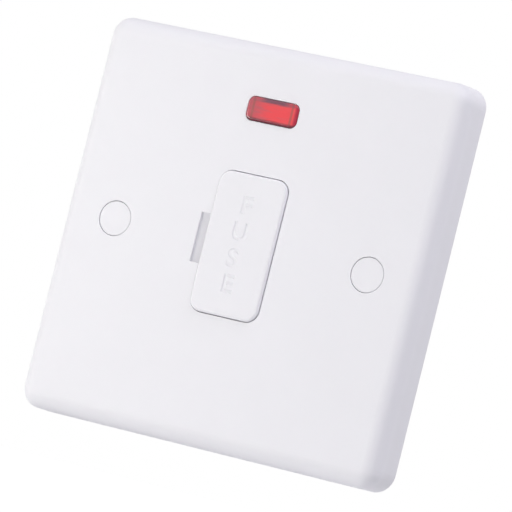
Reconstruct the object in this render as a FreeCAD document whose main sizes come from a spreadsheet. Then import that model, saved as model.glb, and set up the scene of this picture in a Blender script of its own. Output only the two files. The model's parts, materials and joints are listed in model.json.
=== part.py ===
import FreeCAD, Part
import math
import os
import re

import Sketcher

# A one-gang fused connection unit for a 13 A cartridge fuse, with a red power indicator.
# X runs to the right as seen from the front, Z up, and the front faces -Y.
# The origin is the middle of the wall plane, where the plate's rim meets the wall.

# Driving dimensions, in millimetres and degrees.
SIZES = {
    # front plate
    "plate_width": 86.0,
    "plate_height": 86.0,
    "plate_depth": 9.55,
    "plate_draft": 1.6,
    "plate_round": 3.4,
    "corner_extra": 1.0,
    "front_wall": 2.6,
    "rim_wall": 2.2,
    "mouth_round": 0.1,
    # fixing holes and the caps over them
    "fixing_inset": 12.85,
    "fixing_radius": 2.05,
    "boss_radius": 4.7,
    "boss_rib_thick": 1.2,
    "boss_rib_depth": 4.0,
    "cap_seat": 0.2,
    "sink_depth": 1.5,
    "cap_radius": 3.7,
    "cap_depth": 2.3,
    "cap_wall": 0.9,
    "cap_sunk": 0.1,
    "cap_gap": 0.1,
    "cap_round": 0.2,
    # fuse carrier
    "carrier_width": 16.2,
    "carrier_corner": 2.8,
    "carrier_gap": 0.15,
    "carrier_proud": 0.7,
    "carrier_round": 0.6,
    "carrier_travel": 12.5,
    "web_inset": 0.4,
    "web_thick": 1.7,
    "fuse_end_gap": 0.45,
    "arm_inset": 0.2,
    "arm_thick": 1.8,
    "hook_reach": 0.95,
    "hook_length": 1.4,
    "hook_slack": 0.1,
    "cradle_end_gap": 0.7,
    "cradle_right": 1.2,
    "cradle_lip": 0.9,
    "cradle_gap": 0.05,
    # finger and blade notch beside the carrier
    "notch_width": 2.15,
    "notch_height": 10.7,
    "notch_shallow": 0.45,
    "notch_deep": 1.25,
    "notch_round": 0.25,
    "pry_depth": 1.2,
    "pry_width": 1.3,
    # guide shaft behind the plate
    "shaft_wall": 1.5,
    "shaft_clear": 0.3,
    # cartridge fuse
    "fuse_length": 25.4,
    "fuse_radius": 3.175,
    "fuse_behind": 8.55,
    "fuse_cap_length": 5.6,
    "fuse_cap_metal": 0.35,
    "fuse_bore_radius": 1.9,
    "element_radius": 0.2,
    # fuse clips
    "clip_metal": 0.6,
    "clip_width": 2.7,
    "clip_gap": 0.15,
    "clip_clear": 0.45,
    "clip_past": 1.2,
    "clip_mouth": 1.4,
    "clip_flare": 1.0,
    "tail_width": 5.0,
    # rear housing
    "housing_front": 0.3,
    "housing_back": 14.5,
    "housing_side_wall": 1.5,
    "housing_end_wall": 2.0,
    "housing_draft": 1.0,
    "housing_corner": 2.5,
    "housing_floor": 2.0,
    "housing_round": 0.8,
    "pocket_gap": 0.2,
    "barrier_front": 1.0,
    "barrier_reach": 2.5,
    "barrier_thick": 1.4,
    # terminals
    "terminal_wall": 3.55,
    "terminal_gap": 0.8,
    "terminal_width": 7.0,
    "terminal_height": 8.0,
    "terminal_depth": 8.5,
    "wire_radius": 2.25,
    "wire_wall": 1.35,
    "wire_entry_gap": 0.35,
    "link_width": 3.0,
    "link_thick": 2.0,
    "clamp_radius": 1.75,
    "clamp_head_radius": 2.2,
    "clamp_head_thick": 1.5,
    "clamp_raised": 0.25,
    "clamp_head_gap": 0.4,
    "clamp_bevel": 0.45,
    "slot_width": 0.8,
    "slot_depth": 0.8,
    "thread_gap": 0.05,
    # screws that join the plate and the housing
    "pillar_gap": 1.1,
    "pillar_z": 9.0,
    "pillar_radius": 2.7,
    "pillar_bottom": 0.6,
    "joint_radius": 1.45,
    "joint_hole_gap": 0.2,
    "joint_tip_gap": 0.3,
    "joint_head_radius": 2.7,
    "joint_head_thick": 1.7,
    "joint_head_bevel": 0.8,
    "joint_head_gap": 0.4,
    # power indicator
    "lens_width": 11.9,
    "lens_height": 5.1,
    "lens_corner": 1.4,
    "lens_up": 28.85,
    "lens_gap": 0.1,
    "lens_proud": 0.3,
    "lens_round": 0.4,
    "lens_face": 1.2,
    "lens_side": 1.3,
    "lens_edge": 0.9,
    "flange_reach": 1.2,
    "flange_thick": 1.0,
    "frame_wall": 1.2,
    "frame_past": 1.4,
    "cheek_inset": 0.4,
    "cheek_past": 1.4,
    "cheek_snap": 0.15,
    "lamp_radius": 2.0,
    "lamp_past": 0.45,
    "lamp_behind": 5.95,
    "lamp_glass": 0.45,
    "lamp_gap": 0.1,
    "lead_radius": 0.35,
    "lead_gap": 0.05,
    "lead_spacing": 1.2,
    "lead_bend": 1.0,
    "lead_run_gap": 1.4,
    "electrode_length": 9.5,
    "resistor_radius": 1.2,
    "resistor_waist": 1.0,
    "resistor_length": 4.2,
    "resistor_cuff": 0.9,
    "resistor_slope": 0.3,
    "tail_inset": 0.95,
}

# How far a cutting profile reaches past the surface that it cuts, and the slack in picking edges.
BEYOND = "1"
ROOM = 0.01

# Places worked out from the sizes. Y is counted from the wall plane, negative towards the front.
IN_FRONT = f"(-plate_depth - {BEYOND})"
INNER_FACE = "(front_wall - plate_depth)"
PLATE_CORNER = "(plate_round + corner_extra)"
FIXING_X = "(plate_width / 2 - fixing_inset)"
CAP_FLOOR = "(cap_depth + cap_sunk - plate_depth)"
SINK_RADIUS = "(cap_radius - cap_seat)"
FUSE_Y = "(fuse_behind - plate_depth)"
TUBE_RADIUS = "(fuse_radius - fuse_cap_metal)"
CRADLE_Z = "(fuse_length / 2 - fuse_cap_length - cradle_end_gap)"
ARM_TOP = "(fuse_length / 2 + fuse_end_gap + arm_thick)"
CARRIER_Z = f"({ARM_TOP} + arm_inset)"
CARRIER_FRONT = "(plate_depth + carrier_proud)"
HOOK_FRONT = f"({INNER_FACE} + carrier_travel + hook_slack)"
ARM_END = f"({HOOK_FRONT} + hook_length)"
MOUTH_X = "(carrier_width / 2 + carrier_gap)"
MOUTH_Z = f"({CARRIER_Z} + carrier_gap)"
SHAFT_X = f"({MOUTH_X} + shaft_wall)"
SHAFT_Z = f"({ARM_TOP} + hook_reach + shaft_clear)"
CLIP_Z = "(fuse_length / 2 - fuse_cap_length / 2)"
CLIP_WEB = f"({ARM_END} + clip_clear)"
FLOOR = "(housing_back - housing_floor)"
BLOCK_FRONT = f"({FLOOR} - terminal_depth)"
BLOCK_INNER = f"({SHAFT_Z} + terminal_gap)"
BLOCK_Z = f"({BLOCK_INNER} + terminal_height / 2)"
BLOCK_END = f"({BLOCK_INNER} + terminal_height)"
TERMINAL_X = f"({MOUTH_X} + terminal_wall + pocket_gap + terminal_width / 2)"
LINK_END = f"({TERMINAL_X} - terminal_width / 2 + link_width + pocket_gap)"
WIRE_Y = f"({BLOCK_FRONT} + wire_wall + wire_radius)"
HEAD_HOLE = "(joint_head_radius + joint_head_gap)"
PILLAR_X = f"({LINK_END} + pillar_gap + {HEAD_HOLE})"
HOUSING_X = f"({PILLAR_X} + {HEAD_HOLE} + housing_side_wall)"
HOUSING_Z = f"({BLOCK_END} + housing_end_wall)"
LAMP_Y = "(lamp_behind - plate_depth)"
LAMP_END = "(lens_width / 2 + lamp_past)"
FLANGE_BACK = f"({INNER_FACE} + flange_thick)"
FLANGE_X = "(lens_width / 2 + flange_reach)"
FLANGE_Z = "(lens_height / 2 + flange_reach)"

doc = FreeCAD.newDocument("fused_spur_unit")
sheet = doc.addObject("Spreadsheet::Sheet", "Sizes")
for row, (alias, size) in enumerate(SIZES.items(), start=1):
    sheet.set(f"A{row}", alias)
    sheet.set(f"B{row}", str(size))
    sheet.setAlias(f"B{row}", alias)
doc.recompute()

sub_parts = []


def formula(text):
    """The text with every size in it written as a reference to the sheet."""
    def refer(word):
        return "Sizes." + word.group() if word.group() in SIZES else word.group()
    return re.sub(r"[a-z_]+", refer, text)


def number(text):
    """What a formula of sizes comes to."""
    return float(sheet.evalExpression(formula(text)))


def bind(target, path, text):
    target.setExpression(path, formula(text))


# Sketches

def origin_plane(body, role):
    return next(item for item in body.Origin.OriginFeatures if item.Role == role)


def new_body(label):
    body = doc.addObject("PartDesign::Body", label)
    body.Label = label
    sub_parts.append(body)
    return body


def new_sketch(body, name, role, x="0", y="0", out="0"):
    """A sketch on one of the body's planes, moved by x and y in it and by out along its normal."""
    sketch = body.newObject("Sketcher::SketchObject", name)
    sketch.AttachmentSupport = [(origin_plane(body, role), "")]
    sketch.MapMode = "FlatFace"
    for axis, text in (("x", x), ("y", y), ("z", out)):
        bind(sketch, f".AttachmentOffset.Base.{axis}", text)
    return sketch


def front_sketch(body, name, y_place="0", x="0", z="0"):
    """A sketch seen from the front, X across and Z up, at a depth y_place from the wall plane."""
    return new_sketch(body, name, "XZ_Plane", x, z, f"-({y_place})")


def hold_point(sketch, geometry, vertex, x, y):
    """Tie a point of the sketch to a place worked out from the sizes."""
    for kind, text in (("DistanceX", x), ("DistanceY", y)):
        place = Sketcher.Constraint(kind, -1, 1, geometry, vertex, number(text))
        index = sketch.addConstraint(place)
        bind(sketch, f"Constraints[{index}]", text)


def polygon(sketch, points):
    """A closed outline with straight sides through points given as formulas."""
    first = sketch.GeometryCount
    places = [FreeCAD.Vector(number(x), number(y), 0) for x, y in points]
    count = len(places)
    for index in range(count):
        side = Part.LineSegment(places[index], places[(index + 1) % count])
        sketch.addGeometry(side, False)
    for index in range(count):
        follower = first + (index + 1) % count
        sketch.addConstraint(Sketcher.Constraint("Coincident", first + index, 2, follower, 1))
    for index, (x, y) in enumerate(points):
        hold_point(sketch, first + index, 1, x, y)


def rectangle(sketch, left, right, bottom, top):
    polygon(sketch, [(left, bottom), (right, bottom), (right, top), (left, top)])


def rounded_rectangle(sketch, left, right, bottom, top, corner):
    """A rectangle whose four corners are arcs that run smoothly into its sides."""
    x_low, x_high = number(left), number(right)
    y_low, y_high = number(bottom), number(top)
    radius = number(corner)
    centres = [
        (x_high - radius, y_low + radius, -90),
        (x_high - radius, y_high - radius, 0),
        (x_low + radius, y_high - radius, 90),
        (x_low + radius, y_low + radius, 180),
    ]
    arcs = []
    for x, y, start in centres:
        circle = Part.Circle(FreeCAD.Vector(x, y, 0), FreeCAD.Vector(0, 0, 1), radius)
        arcs.append(Part.ArcOfCircle(circle, math.radians(start), math.radians(start + 90)))
    first = sketch.GeometryCount
    for arc in arcs:
        sketch.addGeometry(arc, False)
    for index in range(4):
        side = Part.LineSegment(arcs[index].EndPoint, arcs[(index + 1) % 4].StartPoint)
        sketch.addGeometry(side, False)
    for index in range(4):
        line = first + 4 + index
        follower = first + (index + 1) % 4
        sketch.addConstraint(Sketcher.Constraint("Tangent", first + index, 2, line, 1))
        sketch.addConstraint(Sketcher.Constraint("Tangent", line, 2, follower, 1))
        if index:
            sketch.addConstraint(Sketcher.Constraint("Equal", first, first + index))
    right_side, top_side, left_side, bottom_side = (first + 4 + index for index in range(4))
    for line in (right_side, left_side):
        sketch.addConstraint(Sketcher.Constraint("Vertical", line))
    for line in (top_side, bottom_side):
        sketch.addConstraint(Sketcher.Constraint("Horizontal", line))
    for kind, line, text in (
        ("DistanceX", right_side, right),
        ("DistanceY", top_side, top),
        ("DistanceX", left_side, left),
        ("DistanceY", bottom_side, bottom),
    ):
        place = Sketcher.Constraint(kind, -1, 1, line, 1, number(text))
        bind(sketch, f"Constraints[{sketch.addConstraint(place)}]", text)
    size = sketch.addConstraint(Sketcher.Constraint("Radius", first, radius))
    bind(sketch, f"Constraints[{size}]", corner)


def circle(sketch, x, y, radius):
    centre = FreeCAD.Vector(number(x), number(y), 0)
    index = sketch.addGeometry(Part.Circle(centre, FreeCAD.Vector(0, 0, 1), number(radius)), False)
    hold_point(sketch, index, 3, x, y)
    size = sketch.addConstraint(Sketcher.Constraint("Radius", index, number(radius)))
    bind(sketch, f"Constraints[{size}]", radius)


# Features

def finish_feature(body, feature, before, grows):
    """Rebuild, and stop if the feature did not add or remove material as it should."""
    doc.recompute()
    change = body.Shape.Volume - before
    if "Invalid" in feature.State or "Error" in feature.State:
        raise RuntimeError(f"{body.Label}: {feature.Label} failed")
    if (change > 1e-4) != grows or abs(change) < 1e-4:
        raise RuntimeError(f"{body.Label}: {feature.Label} changed the volume by {change:.4f}")
    return feature


def volume_of(body):
    return 0.0 if body.Shape.isNull() else body.Shape.Volume


def pad(body, sketch, length, along=1, taper=None, centred=False):
    """Add material to a length on the side of the sketch that its normal points to, or the other."""
    before = volume_of(body)
    feature = body.newObject("PartDesign::Pad", sketch.Name + "_pad")
    feature.Profile = sketch
    feature.Reversed = along < 0
    if centred:
        feature.SideType = "Symmetric"
    bind(feature, "Length", length)
    if taper:
        bind(feature, "TaperAngle", taper)
    return finish_feature(body, feature, before, True)


def pocket(body, sketch, length, along=1, centred=False):
    """Remove material to a length on the side of the sketch that its normal points to, or the other."""
    before = volume_of(body)
    feature = body.newObject("PartDesign::Pocket", sketch.Name + "_pocket")
    feature.Profile = sketch
    feature.Reversed = along > 0
    if centred:
        feature.SideType = "Symmetric"
    bind(feature, "Length", length)
    return finish_feature(body, feature, before, False)


def turn(body, sketch, axis="V_Axis", grows=True):
    """Revolve a profile once round its sketch's own upright or level axis."""
    before = volume_of(body)
    kind = "PartDesign::Revolution" if grows else "PartDesign::Groove"
    feature = body.newObject(kind, sketch.Name + "_turned")
    feature.Profile = sketch
    feature.ReferenceAxis = (sketch, [axis])
    feature.Angle = 360
    return finish_feature(body, feature, before, grows)


def mirror(body, features, role, grows):
    before = volume_of(body)
    feature = body.newObject("PartDesign::Mirrored", features[0].Name + "_mirrored")
    feature.Originals = features
    feature.MirrorPlane = (origin_plane(body, role), [""])
    body.Tip = feature
    return finish_feature(body, feature, before, grows)


def round_edges(body, radius, chosen, name):
    """Round the edges that the test picks out."""
    before = volume_of(body)
    base = body.Tip
    edges = [f"Edge{i}" for i, edge in enumerate(base.Shape.Edges, start=1) if chosen(edge)]
    if not edges:
        raise RuntimeError(f"{body.Label}: no edge to round for {name}")
    feature = body.newObject("PartDesign::Fillet", name)
    feature.Base = (base, edges)
    bind(feature, "Radius", radius)
    return finish_feature(body, feature, before, False)


def lies_at(edge, axis, place):
    """Whether an edge lies wholly in the plane where the axis has this value."""
    low, high = getattr(edge.BoundBox, axis + "Min"), getattr(edge.BoundBox, axis + "Max")
    return abs(low - place) < 1e-3 and abs(high - place) < 1e-3


def bounds_opening(edge, depth, x, z, half_x, half_z):
    """Whether an edge is part of the rim, at this depth, of an opening to either side of the middle."""
    middle = edge.CenterOfMass
    beside = abs(abs(middle.x) - x) <= half_x + ROOM and abs(middle.z - z) <= half_z + ROOM
    return lies_at(edge, "Y", depth) and beside


# Front plate

def make_front_plate():
    """A hollow moulded square, open at the back, with everything that it carries on its inside."""
    body = new_body("front_plate")
    outline = front_sketch(body, "plate_outline")
    half_x, half_z = "plate_width / 2", "plate_height / 2"
    rounded_rectangle(outline, f"-{half_x}", half_x, f"-{half_z}", half_z, PLATE_CORNER)
    pad(body, outline, "plate_depth", taper="-plate_draft")
    front = -number("plate_depth")
    round_edges(body, "plate_round", lambda edge: lies_at(edge, "Y", front), "plate_front_round")

    hollow = front_sketch(body, "plate_hollow")
    in_x, in_z = f"({half_x} - rim_wall)", f"({half_z} - rim_wall)"
    rounded_rectangle(hollow, f"-{in_x}", in_x, f"-{in_z}", in_z, f"{PLATE_CORNER} - rim_wall")
    pocket(body, hollow, "plate_depth - front_wall")
    add_plate_shaft(body)
    add_indicator_frame(body)
    add_plate_pillars(body)
    cut_carrier_mouth(body, front)
    cut_indicator_window(body, front)
    cut_fixing_holes(body, front)


def add_plate_shaft(body):
    """Walls that guide the carrier, from the inside of the plate back to the housing."""
    walls = front_sketch(body, "shaft_walls", INNER_FACE)
    out_z = f"({SHAFT_Z} + shaft_wall)"
    rectangle(walls, f"-{SHAFT_X}", SHAFT_X, f"-{out_z}", out_z)
    rectangle(walls, f"-{MOUTH_X}", MOUTH_X, f"-{SHAFT_Z}", SHAFT_Z)
    pad(body, walls, f"housing_front - {INNER_FACE}", along=-1)
    backing = front_sketch(body, "notch_backing", INNER_FACE)
    rectangle(backing, f"-({SHAFT_X} + notch_width)", f"-({MOUTH_X} + shaft_wall / 2)",
              "-(notch_height / 2 + shaft_wall)", "notch_height / 2 + shaft_wall")
    pad(body, backing, "shaft_wall", along=-1)


def add_indicator_frame(body):
    """A low wall round the lens flange that keeps the lens in place."""
    frame = front_sketch(body, "indicator_frame", INNER_FACE, z="lens_up")
    in_x, in_z = f"({FLANGE_X} + lens_gap)", f"({FLANGE_Z} + lens_gap)"
    out_x, out_z = f"({in_x} + frame_wall)", f"({in_z} + frame_wall)"
    rectangle(frame, f"-{out_x}", out_x, f"-{out_z}", out_z)
    rectangle(frame, f"-{in_x}", in_x, f"-{in_z}", in_z)
    pad(body, frame, "flange_thick + frame_past", along=-1)


def add_plate_pillars(body):
    """Four blind pillars that take the screws of the housing."""
    pillars = front_sketch(body, "pillars", INNER_FACE)
    holes = front_sketch(body, "pillar_holes", "housing_front")
    for side in (-1, 1):
        for end in (-1, 1):
            place = (f"{side} * {PILLAR_X}", f"{end} * pillar_z")
            circle(pillars, *place, "pillar_radius")
            circle(holes, *place, "joint_radius + thread_gap")
    pad(body, pillars, f"housing_front - {INNER_FACE}", along=-1)
    pocket(body, holes, f"housing_front - {INNER_FACE} - pillar_bottom")


def cut_carrier_mouth(body, front):
    """The opening for the fuse carrier, and the sloping notch beside it for a screwdriver blade."""
    mouth = front_sketch(body, "carrier_mouth", "-plate_depth")
    rounded_rectangle(mouth, f"-{MOUTH_X}", MOUTH_X, f"-{MOUTH_Z}", MOUTH_Z, "carrier_corner + carrier_gap")
    pocket(body, mouth, "front_wall", along=-1)
    rim = (front, 0, 0, number(MOUTH_X), number(MOUTH_Z))
    round_edges(body, "mouth_round", lambda edge: bounds_opening(edge, *rim), "carrier_mouth_round")
    notch = new_sketch(body, "blade_notch", "XY_Plane")
    outer, inner = f"-({MOUTH_X} + notch_width)", f"-({MOUTH_X} - carrier_gap / 2)"
    polygon(notch, [
        (outer, IN_FRONT),
        (outer, "notch_shallow - plate_depth"),
        (inner, "notch_deep - plate_depth"),
        (inner, IN_FRONT),
    ])
    pocket(body, notch, "notch_height", centred=True)
    place = number(outer)
    round_edges(body, "notch_round",
                lambda edge: lies_at(edge, "Y", front) and lies_at(edge, "X", place), "notch_edge_round")


def cut_indicator_window(body, front):
    window = front_sketch(body, "indicator_window", "-plate_depth", z="lens_up")
    half_x, half_z = "(lens_width / 2 + lens_gap)", "(lens_height / 2 + lens_gap)"
    rounded_rectangle(window, f"-{half_x}", half_x, f"-{half_z}", half_z, "lens_corner + lens_gap")
    pocket(body, window, "front_wall", along=-1)
    rim = (front, 0, number("lens_up"), number(half_x), number(half_z))
    round_edges(body, "mouth_round", lambda edge: bounds_opening(edge, *rim), "window_round")


def cut_fixing_holes(body, front):
    """Two ribbed bosses on the level centre line, each with a cap's recess, a screw seat and a hole."""
    bosses = front_sketch(body, "fixing_bosses", INNER_FACE)
    ribs = front_sketch(body, "boss_ribs", INNER_FACE)
    for side in (-1, 1):
        circle(bosses, f"{side} * {FIXING_X}", "0", "boss_radius")
        rectangle(ribs, f"{side} * {FIXING_X}", f"{side} * (plate_width / 2 - rim_wall)",
                  "-boss_rib_thick / 2", "boss_rib_thick / 2")
    pad(body, ribs, "boss_rib_depth", along=-1)
    pad(body, bosses, f"-{INNER_FACE}", along=-1)
    profile = new_sketch(body, "fixing_profile", "XY_Plane", x=FIXING_X)
    polygon(profile, [
        ("0", IN_FRONT),
        ("cap_radius + cap_gap", IN_FRONT),
        ("cap_radius + cap_gap", CAP_FLOOR),
        (SINK_RADIUS, CAP_FLOOR),
        ("fixing_radius", f"{CAP_FLOOR} + sink_depth"),
        ("fixing_radius", BEYOND),
        ("0", BEYOND),
    ])
    cut = turn(body, profile, grows=False)
    mirror(body, [cut], "YZ_Plane", False)
    rim = (front, number(FIXING_X), 0, 0, 0)
    round_edges(body, "mouth_round", lambda edge: bounds_opening(edge, *rim), "cap_recess_round")


def make_screw_cap(label, side):
    """A blank round cap over a fixing screw: a disc with a skirt that stands on the recess floor."""
    body = new_body(label)
    profile = new_sketch(body, "cap_profile", "XY_Plane", x=f"{side} * {FIXING_X}")
    face = "(cap_sunk - plate_depth)"
    polygon(profile, [
        ("0", face),
        ("cap_radius", face),
        ("cap_radius", CAP_FLOOR),
        ("cap_radius - cap_wall / 2", CAP_FLOOR),
        ("cap_radius - cap_wall", f"{face} + cap_wall"),
        ("0", f"{face} + cap_wall"),
    ])
    turn(body, profile)
    place = number(face)
    round_edges(body, "cap_round", lambda edge: lies_at(edge, "Y", place), "cap_front_round")


# Fuse carrier and fuse

def make_fuse_carrier():
    """The drawer that holds the fuse: a face, two hooked arms, a side web and an open cradle."""
    body = new_body("fuse_carrier")
    face = front_sketch(body, "carrier_face", f"-{CARRIER_FRONT}")
    half_x = "carrier_width / 2"
    rounded_rectangle(face, f"-{half_x}", half_x, f"-{CARRIER_Z}", CARRIER_Z, "carrier_corner")
    pad(body, face, "front_wall + carrier_proud", along=-1)
    front = -number(CARRIER_FRONT)
    round_edges(body, "carrier_round", lambda edge: lies_at(edge, "Y", front), "carrier_front_round")

    web_left = f"-({half_x} - web_inset)"
    web_right = f"({web_left} + web_thick)"
    arm_x = f"({half_x} - carrier_corner)"
    arm_bottom = f"({ARM_TOP} - arm_thick)"
    behind_tube = f"({FUSE_Y} + {TUBE_RADIUS} + cradle_gap + cradle_lip)"
    web = front_sketch(body, "carrier_web", INNER_FACE)
    upper_half = [
        (web_right, arm_bottom),
        (f"-{arm_x}", arm_bottom),
        (f"-{arm_x}", ARM_TOP),
        (web_left, f"({CARRIER_Z} - carrier_corner)"),
    ]
    polygon(web, upper_half + [(x, "-" + z) for x, z in reversed(upper_half)])
    pad(body, web, f"{behind_tube} - {INNER_FACE}", along=-1)
    arms = front_sketch(body, "carrier_arms", INNER_FACE)
    for end in (-1, 1):
        rectangle(arms, f"-{arm_x}", arm_x, f"{end} * {ARM_TOP}", f"{end} * {arm_bottom}")
    pad(body, arms, f"{ARM_END} - {INNER_FACE}", along=-1)
    hooks = new_sketch(body, "carrier_hooks", "YZ_Plane")
    for end in (-1, 1):
        polygon(hooks, [
            (HOOK_FRONT, f"{end} * {ARM_TOP}"),
            (HOOK_FRONT, f"{end} * ({ARM_TOP} + hook_reach)"),
            (f"{HOOK_FRONT} + hook_length / 2", f"{end} * ({ARM_TOP} + hook_reach)"),
            (ARM_END, f"{end} * {ARM_TOP}"),
        ])
    pad(body, hooks, f"2 * {arm_x}", centred=True)

    cradle = front_sketch(body, "cradle_block", INNER_FACE)
    rectangle(cradle, web_right, "cradle_right", f"-{CRADLE_Z}", CRADLE_Z)
    pad(body, cradle, f"{behind_tube} - {INNER_FACE}", along=-1)
    trough = new_sketch(body, "cradle_trough", "XY_Plane")
    circle(trough, "0", FUSE_Y, f"{TUBE_RADIUS} + cradle_gap")
    pocket(body, trough, f"2 * {CRADLE_Z}", centred=True)

    pry = new_sketch(body, "pry_slot", "XY_Plane")
    edge = f"-{half_x}"
    slot_front = "(notch_shallow - plate_depth)"
    rectangle(pry, f"{edge} - {BEYOND}", f"{edge} + pry_depth", slot_front, f"{slot_front} + pry_width")
    pocket(body, pry, "notch_height", centred=True)


def make_fuse():
    """A ceramic tube with a metal cup on each end and the fuse wire along its middle."""
    tube = new_body("fuse_tube")
    profile = front_sketch(tube, "tube_profile", FUSE_Y)
    end = "(fuse_length / 2 - fuse_cap_metal)"
    rectangle(profile, "fuse_bore_radius", TUBE_RADIUS, f"-{end}", end)
    turn(tube, profile)
    wire = new_body("fuse_element")
    strand = front_sketch(wire, "element_profile", FUSE_Y)
    rectangle(strand, "0", "element_radius", f"-{end}", end)
    turn(wire, strand)
    make_fuse_cap("fuse_cap_upper", 1)
    make_fuse_cap("fuse_cap_lower", -1)


def make_fuse_cap(label, end):
    body = new_body(label)
    profile = front_sketch(body, "fuse_cap_profile", FUSE_Y)
    mouth = f"{end} * (fuse_length / 2 - fuse_cap_length)"
    seat = f"{end} * (fuse_length / 2 - fuse_cap_metal)"
    tip = f"{end} * fuse_length / 2"
    polygon(profile, [
        ("0", seat),
        (TUBE_RADIUS, seat),
        (TUBE_RADIUS, mouth),
        ("fuse_radius", mouth),
        ("fuse_radius", tip),
        ("0", tip),
    ])
    turn(body, profile)
    place = number(tip)
    round_edges(body, "fuse_cap_metal", lambda edge: lies_at(edge, "Z", place), "fuse_cap_round")


def make_fuse_clip(label, end):
    """A folded strip: two jaws with flared mouths on a web, and a tail that meets its terminal."""
    body = new_body(label)
    jaw_in = "(fuse_radius + clip_gap)"
    jaw_out = f"({jaw_in} + clip_metal)"
    web_back = f"({CLIP_WEB} + clip_metal)"
    bend = f"({FUSE_Y} - clip_past)"
    tip = f"({bend} - clip_mouth)"
    strip = new_sketch(body, "clip_strip", "XY_Plane", out=f"{end} * {CLIP_Z}")
    polygon(strip, [
        (f"-{jaw_out}", web_back),
        (f"-{jaw_out}", bend),
        (f"-({jaw_out} + clip_flare)", tip),
        (f"-({jaw_in} + clip_flare)", tip),
        (f"-{jaw_in}", bend),
        (f"-{jaw_in}", CLIP_WEB),
        (jaw_in, CLIP_WEB),
        (jaw_in, bend),
        (f"{jaw_in} + clip_flare", tip),
        (f"{jaw_out} + clip_flare", tip),
        (jaw_out, bend),
        (jaw_out, web_back),
    ])
    pad(body, strip, "clip_width", centred=True)
    corners = number(web_back)
    reach = number(jaw_out) - ROOM
    round_edges(body, "clip_metal", lambda edge: lies_at(edge, "Y", corners)
                and abs(edge.CenterOfMass.x) > reach, "clip_bends")
    tail = front_sketch(body, "clip_tail", CLIP_WEB)
    rectangle(tail, "-tail_width / 2", "tail_width / 2", f"{end} * {CLIP_Z}", f"{end} * {BLOCK_INNER}")
    pad(body, tail, "clip_metal", along=-1)


# Rear housing and terminals

def make_rear_housing():
    """The moulded base: a block behind the plate with a fitted pocket for each thing it holds."""
    body = new_body("rear_housing")
    outline = front_sketch(body, "housing_outline", "housing_front")
    rounded_rectangle(outline, f"-{HOUSING_X}", HOUSING_X, f"-{HOUSING_Z}", HOUSING_Z, "housing_corner")
    pad(body, outline, "housing_back - housing_front", along=-1, taper="-housing_draft")
    back = number("housing_back")
    round_edges(body, "housing_round", lambda edge: lies_at(edge, "Y", back), "housing_back_round")

    chamber = front_sketch(body, "fuse_chamber", "housing_front")
    rectangle(chamber, f"-{MOUTH_X}", MOUTH_X, f"-{SHAFT_Z}", SHAFT_Z)
    pocket(body, chamber, f"{CLIP_WEB} + clip_metal - housing_front", along=-1)
    well = front_sketch(body, "fuse_well", "housing_front")
    well_end = f"({CLIP_Z} - clip_width / 2 - pocket_gap)"
    rectangle(well, f"-{MOUTH_X}", MOUTH_X, f"-{well_end}", well_end)
    pocket(body, well, f"{FLOOR} - housing_front", along=-1)

    blocks = front_sketch(body, "live_pockets", "housing_front")
    side = "(terminal_width / 2 + pocket_gap)"
    pocket_end = f"({BLOCK_END} + pocket_gap)"
    for end in (-1, 1):
        rectangle(blocks, f"-{side}", side, f"{end} * {SHAFT_Z}", f"{end} * {pocket_end}")
    pocket(body, blocks, f"{FLOOR} - housing_front", along=-1)
    for name, column in (("earth", -1), ("neutral", 1)):
        row = front_sketch(body, name + "_pocket", "housing_front")
        link_in = f"{column} * ({TERMINAL_X} - {side})"
        link_out = f"{column} * {LINK_END}"
        outer = f"{column} * ({TERMINAL_X} + {side})"
        inner = f"({BLOCK_INNER} - pocket_gap)"
        polygon(row, [
            (link_in, f"-{pocket_end}"),
            (outer, f"-{pocket_end}"),
            (outer, f"-{inner}"),
            (link_out, f"-{inner}"),
            (link_out, inner),
            (outer, inner),
            (outer, pocket_end),
            (link_in, pocket_end),
        ])
        pocket(body, row, f"{FLOOR} - housing_front", along=-1)
    add_barriers(body)
    cut_wire_entries(body)
    cut_housing_holes(body)


def add_barriers(body):
    """Fins that keep the wires of neighbouring terminals apart, above and below the block."""
    fins = front_sketch(body, "barriers", "barrier_front")
    root, tip = f"({HOUSING_Z} - housing_end_wall)", f"({HOUSING_Z} + barrier_reach)"
    for end in (-1, 1):
        for side in (-1, 1):
            middle = f"{side} * {TERMINAL_X} / 2"
            rectangle(fins, f"{middle} - barrier_thick / 2", f"{middle} + barrier_thick / 2",
                      f"{end} * {root}", f"{end} * {tip}")
    pad(body, fins, "housing_back - housing_round - barrier_front", along=-1)


def cut_wire_entries(body):
    """A round way in for the wires of each terminal, through the top wall and the bottom wall."""
    entries = new_sketch(body, "wire_entries", "XY_Plane", out=HOUSING_Z)
    for column in (-1, 0, 1):
        circle(entries, f"{column} * {TERMINAL_X}", WIRE_Y, "wire_radius + wire_entry_gap")
    cut = pocket(body, entries, "housing_end_wall", along=-1)
    mirror(body, [cut], "XY_Plane", False)


def cut_housing_holes(body):
    """Holes in the back for the terminal screws, and sunk holes for the screws into the plate."""
    access = front_sketch(body, "clamp_access", "housing_back")
    for end in (-1, 1):
        for column in (-1, 0, 1):
            circle(access, f"{column} * {TERMINAL_X}", f"{end} * {BLOCK_Z}",
                   "clamp_head_radius + clamp_head_gap")
    pocket(body, access, "housing_floor")
    through = front_sketch(body, "joint_holes", "housing_back")
    sunk = front_sketch(body, "joint_sinks", "housing_back")
    for side in (-1, 1):
        for end in (-1, 1):
            place = (f"{side} * {PILLAR_X}", f"{end} * pillar_z")
            circle(through, *place, "joint_radius + joint_hole_gap")
            circle(sunk, *place, HEAD_HOLE)
    pocket(body, through, "housing_back - housing_front")
    pocket(body, sunk, "housing_floor")


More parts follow.
